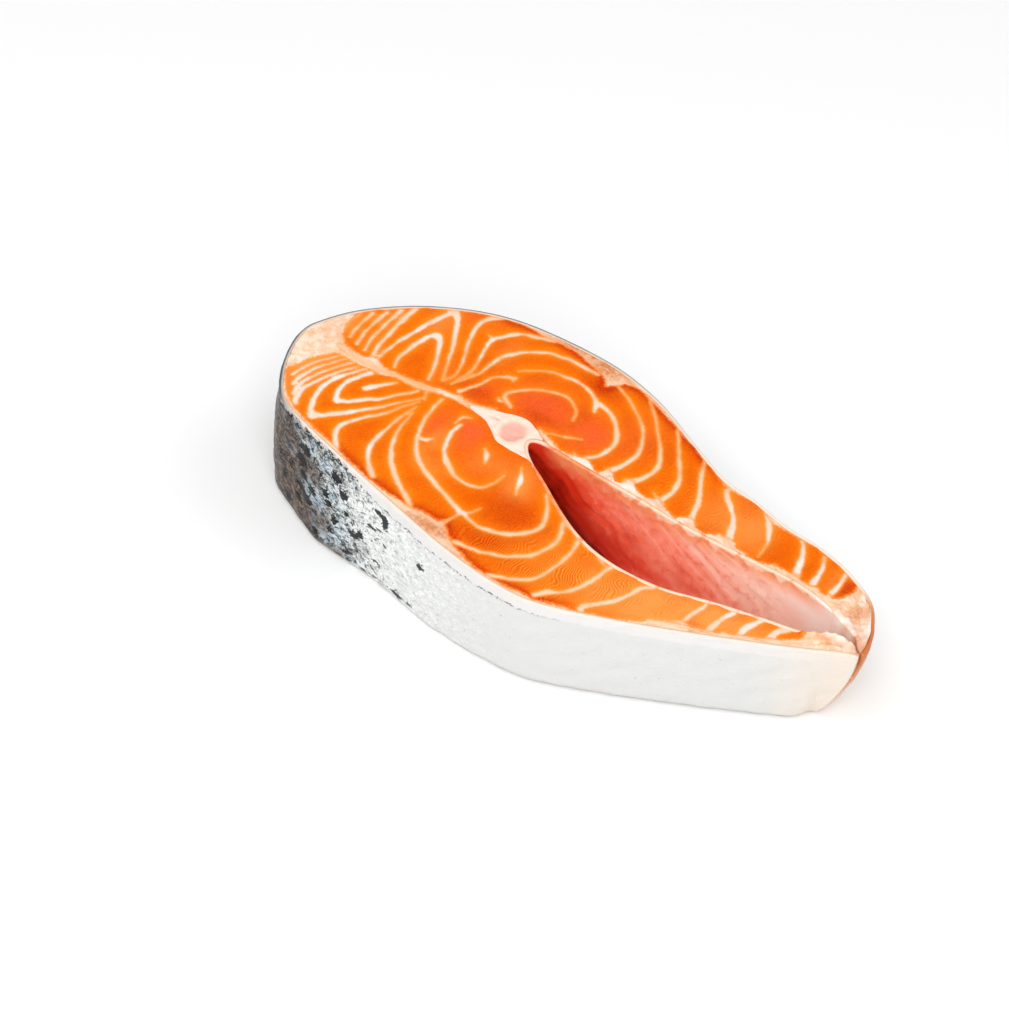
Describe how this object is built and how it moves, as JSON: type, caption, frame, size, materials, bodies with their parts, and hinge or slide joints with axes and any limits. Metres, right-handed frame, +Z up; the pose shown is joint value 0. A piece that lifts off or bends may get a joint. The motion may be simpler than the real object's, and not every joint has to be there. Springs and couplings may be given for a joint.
{
  "type": "salmon steak",
  "caption": "Raw salmon steak, a thick cross-cut slice with orange flesh, pale fat lines, backbone, open belly cavity and silver skin, lying flat on its cut face.",
  "frame": {"origin": "middle of the footprint, on the board that the slice lies on", "axes": "+X from the fish's back to its belly flaps, +Y towards the far flank, +Z up out of the upper cut face"},
  "size_m": [0.1596, 0.0836, 0.0294],
  "materials": {
    "flesh": "moist raw orange fish muscle with pale lines of fat between the flakes",
    "skin": "wet scaly fish skin, dark and spotted at the back, silver on the flank, white at the belly",
    "bone": "moist pale pinkish white bone and gristle",
    "lining": "wet membrane, deep red beside the backbone and pale pink towards the belly"
  },
  "bodies": {
    "root": {"flesh": "flesh", "skin": "skin", "backbone": "bone", "belly_lining": "lining"}
  },
  "joints": []
}
